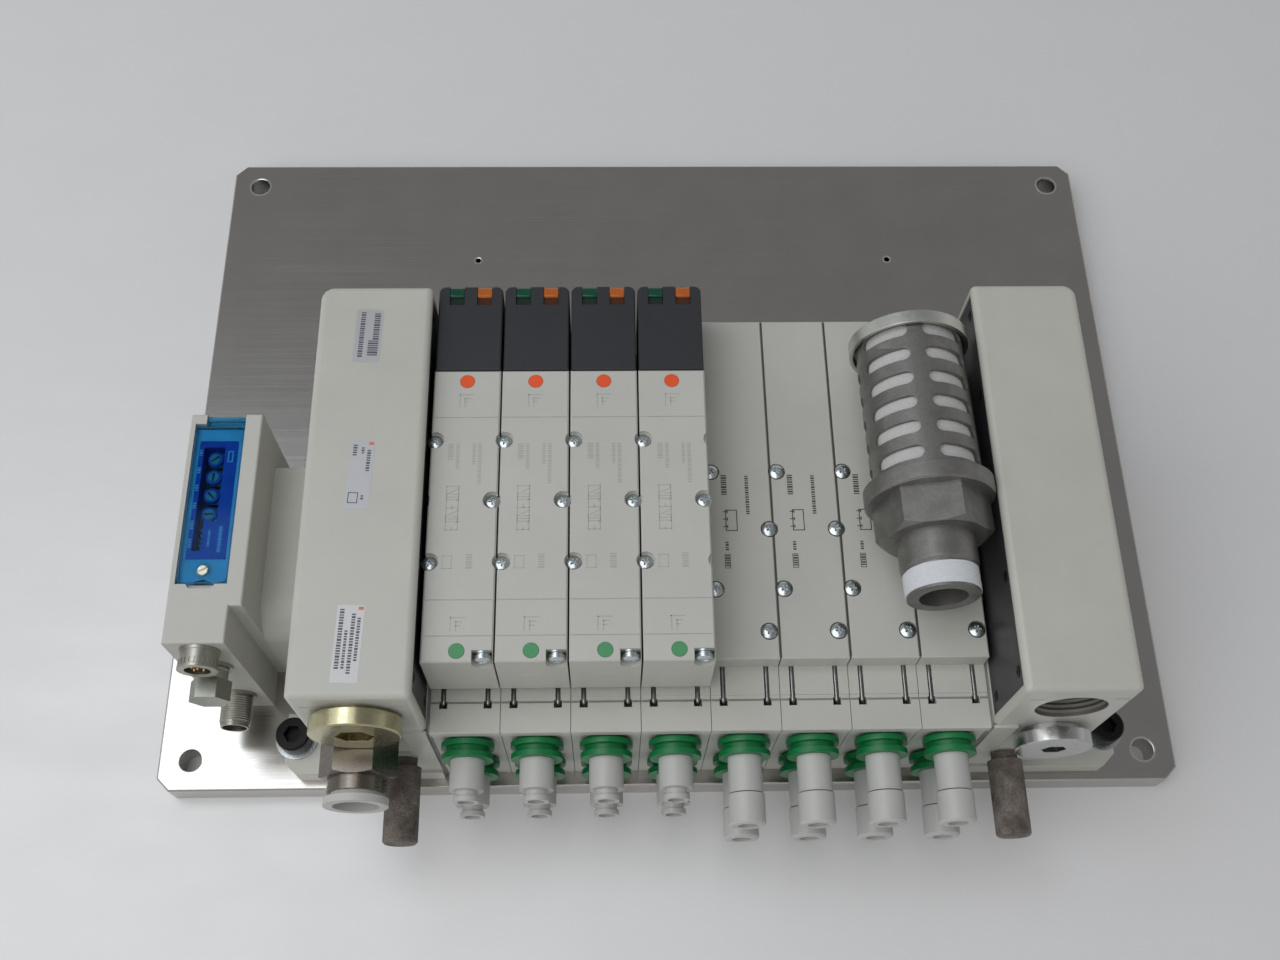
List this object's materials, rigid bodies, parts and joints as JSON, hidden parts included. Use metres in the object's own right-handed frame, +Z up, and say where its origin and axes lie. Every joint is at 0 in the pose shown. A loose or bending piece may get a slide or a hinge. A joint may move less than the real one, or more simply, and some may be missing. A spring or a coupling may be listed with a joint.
{
  "type": "pneumatic valve island",
  "caption": "Pneumatic valve island: plug-in bases between two end blocks on a plate, with solenoid valves, blanking plates, push-in fittings, serial unit and a loose exhaust silencer.",
  "frame": {"origin": "centre of the mounting plate's underside", "axes": "+X along the row of stations towards the exhaust end block, +Y to the back, away from the cylinder ports, +Z up from the plate"},
  "size_m": [0.405, 0.3285, 0.133],
  "materials": {
    "milled_aluminium": "milled, fine lines along the length",
    "ivory_plastic": "fine satin moulding",
    "block_grey": "fine satin moulding",
    "charcoal_plastic": "fine satin moulding",
    "green_plastic": "satin moulding",
    "orange_plastic": "satin moulding",
    "fitting_grey_plastic": "satin moulding",
    "steel_wire": "drawn wire",
    "zinc_plated_steel": "bright zinc plate",
    "black_oxide_steel": "black oxide",
    "nickel_plate": "satin nickel plate",
    "sintered_metal": "sintered grains",
    "cast_silencer_metal": "die cast, dull",
    "silencer_felt": "white felt",
    "clear_blue_plastic": "clear tinted polycarbonate",
    "blue_plastic": "printed film"
  },
  "bodies": {
    "island": {"mounting_plate": "milled_aluminium", "fitting_clips": "steel_wire", "port_spools": "green_plastic", "fitting_bodies": "fitting_grey_plastic", "port_plugs": "fitting_grey_plastic", "mounting_screws": "zinc_plated_steel", "supply_end_block": "block_grey", "exhaust_end_block": "block_grey", "foot_washers": "zinc_plated_steel", "foot_bolts": "black_oxide_steel", "supply_port_plug": "nickel_plate", "exhaust_port_plug": "nickel_plate", "supply_fitting": "nickel_plate", "pilot_silencers": "sintered_metal", "exhaust_silencer_body": "cast_silencer_metal", "exhaust_silencer_element": "silencer_felt", "exhaust_silencer_cap": "zinc_plated_steel", "serial_housing": "ivory_plastic", "switch_panel": "blue_plastic", "serial_connectors": "nickel_plate", "dust_cap": "nickel_plate", "serial_adapter": "ivory_plastic", "manifold_base_1": "ivory_plastic", "manifold_base_2": "ivory_plastic", "manifold_base_3": "ivory_plastic", "manifold_base_4": "ivory_plastic", "manifold_base_5": "ivory_plastic", "manifold_base_6": "ivory_plastic", "manifold_base_7": "ivory_plastic", "manifold_base_8": "ivory_plastic", "valve_body_1": "ivory_plastic", "pilot_cover_1": "charcoal_plastic", "valve_body_2": "ivory_plastic", "pilot_cover_2": "charcoal_plastic", "valve_body_3": "ivory_plastic", "pilot_cover_3": "charcoal_plastic", "valve_body_4": "ivory_plastic", "pilot_cover_4": "charcoal_plastic", "blanking_plate_5": "ivory_plastic", "blanking_plate_6": "ivory_plastic", "blanking_plate_7": "ivory_plastic", "blanking_plate_8": "ivory_plastic"},
    "override_rear_1": {"override_button_rear_1": "orange_plastic"},
    "override_front_1": {"override_button_front_1": "green_plastic"},
    "override_rear_2": {"override_button_rear_2": "orange_plastic"},
    "override_front_2": {"override_button_front_2": "green_plastic"},
    "override_rear_3": {"override_button_rear_3": "orange_plastic"},
    "override_front_3": {"override_button_front_3": "green_plastic"},
    "override_rear_4": {"override_button_rear_4": "orange_plastic"},
    "override_front_4": {"override_button_front_4": "green_plastic"},
    "collar_lower_1": {"release_collar_lower_1": "fitting_grey_plastic"},
    "collar_upper_1": {"release_collar_upper_1": "fitting_grey_plastic"},
    "collar_lower_2": {"release_collar_lower_2": "fitting_grey_plastic"},
    "collar_upper_2": {"release_collar_upper_2": "fitting_grey_plastic"},
    "collar_lower_3": {"release_collar_lower_3": "fitting_grey_plastic"},
    "collar_upper_3": {"release_collar_upper_3": "fitting_grey_plastic"},
    "collar_lower_4": {"release_collar_lower_4": "fitting_grey_plastic"},
    "collar_upper_4": {"release_collar_upper_4": "fitting_grey_plastic"},
    "supply_collar": {"supply_release_collar": "fitting_grey_plastic"},
    "switch_cover": {"serial_cover": "clear_blue_plastic"}
  },
  "joints": [
    {"name": "override_rear_1_slide", "type": "slide", "parent": "island", "child": "override_rear_1", "axis": [0, 0, -1], "range_m": [0, 0.0015], "stiffness_N_per_m": 2000, "springref_m": -0.0005},
    {"name": "override_front_1_slide", "type": "slide", "parent": "island", "child": "override_front_1", "axis": [0, 0, -1], "range_m": [0, 0.0015], "stiffness_N_per_m": 2000, "springref_m": -0.0005},
    {"name": "override_rear_2_slide", "type": "slide", "parent": "island", "child": "override_rear_2", "axis": [0, 0, -1], "range_m": [0, 0.0015], "stiffness_N_per_m": 2000, "springref_m": -0.0005},
    {"name": "override_front_2_slide", "type": "slide", "parent": "island", "child": "override_front_2", "axis": [0, 0, -1], "range_m": [0, 0.0015], "stiffness_N_per_m": 2000, "springref_m": -0.0005},
    {"name": "override_rear_3_slide", "type": "slide", "parent": "island", "child": "override_rear_3", "axis": [0, 0, -1], "range_m": [0, 0.0015], "stiffness_N_per_m": 2000, "springref_m": -0.0005},
    {"name": "override_front_3_slide", "type": "slide", "parent": "island", "child": "override_front_3", "axis": [0, 0, -1], "range_m": [0, 0.0015], "stiffness_N_per_m": 2000, "springref_m": -0.0005},
    {"name": "override_rear_4_slide", "type": "slide", "parent": "island", "child": "override_rear_4", "axis": [0, 0, -1], "range_m": [0, 0.0015], "stiffness_N_per_m": 2000, "springref_m": -0.0005},
    {"name": "override_front_4_slide", "type": "slide", "parent": "island", "child": "override_front_4", "axis": [0, 0, -1], "range_m": [0, 0.0015], "stiffness_N_per_m": 2000, "springref_m": -0.0005},
    {"name": "collar_lower_1_slide", "type": "slide", "parent": "island", "child": "collar_lower_1", "axis": [0, 1, 0], "range_m": [0, 0.0012], "stiffness_N_per_m": 1500, "springref_m": -0.0004},
    {"name": "collar_upper_1_slide", "type": "slide", "parent": "island", "child": "collar_upper_1", "axis": [0, 1, 0], "range_m": [0, 0.0012], "stiffness_N_per_m": 1500, "springref_m": -0.0004},
    {"name": "collar_lower_2_slide", "type": "slide", "parent": "island", "child": "collar_lower_2", "axis": [0, 1, 0], "range_m": [0, 0.0012], "stiffness_N_per_m": 1500, "springref_m": -0.0004},
    {"name": "collar_upper_2_slide", "type": "slide", "parent": "island", "child": "collar_upper_2", "axis": [0, 1, 0], "range_m": [0, 0.0012], "stiffness_N_per_m": 1500, "springref_m": -0.0004},
    {"name": "collar_lower_3_slide", "type": "slide", "parent": "island", "child": "collar_lower_3", "axis": [0, 1, 0], "range_m": [0, 0.0012], "stiffness_N_per_m": 1500, "springref_m": -0.0004},
    {"name": "collar_upper_3_slide", "type": "slide", "parent": "island", "child": "collar_upper_3", "axis": [0, 1, 0], "range_m": [0, 0.0012], "stiffness_N_per_m": 1500, "springref_m": -0.0004},
    {"name": "collar_lower_4_slide", "type": "slide", "parent": "island", "child": "collar_lower_4", "axis": [0, 1, 0], "range_m": [0, 0.0012], "stiffness_N_per_m": 1500, "springref_m": -0.0004},
    {"name": "collar_upper_4_slide", "type": "slide", "parent": "island", "child": "collar_upper_4", "axis": [0, 1, 0], "range_m": [0, 0.0012], "stiffness_N_per_m": 1500, "springref_m": -0.0004},
    {"name": "supply_collar_slide", "type": "slide", "parent": "island", "child": "supply_collar", "axis": [0, 1, 0], "range_m": [0, 0.0014], "stiffness_N_per_m": 2500, "springref_m": -0.0004},
    {"name": "switch_cover_hinge", "type": "hinge", "parent": "island", "child": "switch_cover", "pos_m": [-0.1677, -0.02855, 0.0909], "axis": [-1, 0, 0], "range_deg": [0, 110]}
  ]
}
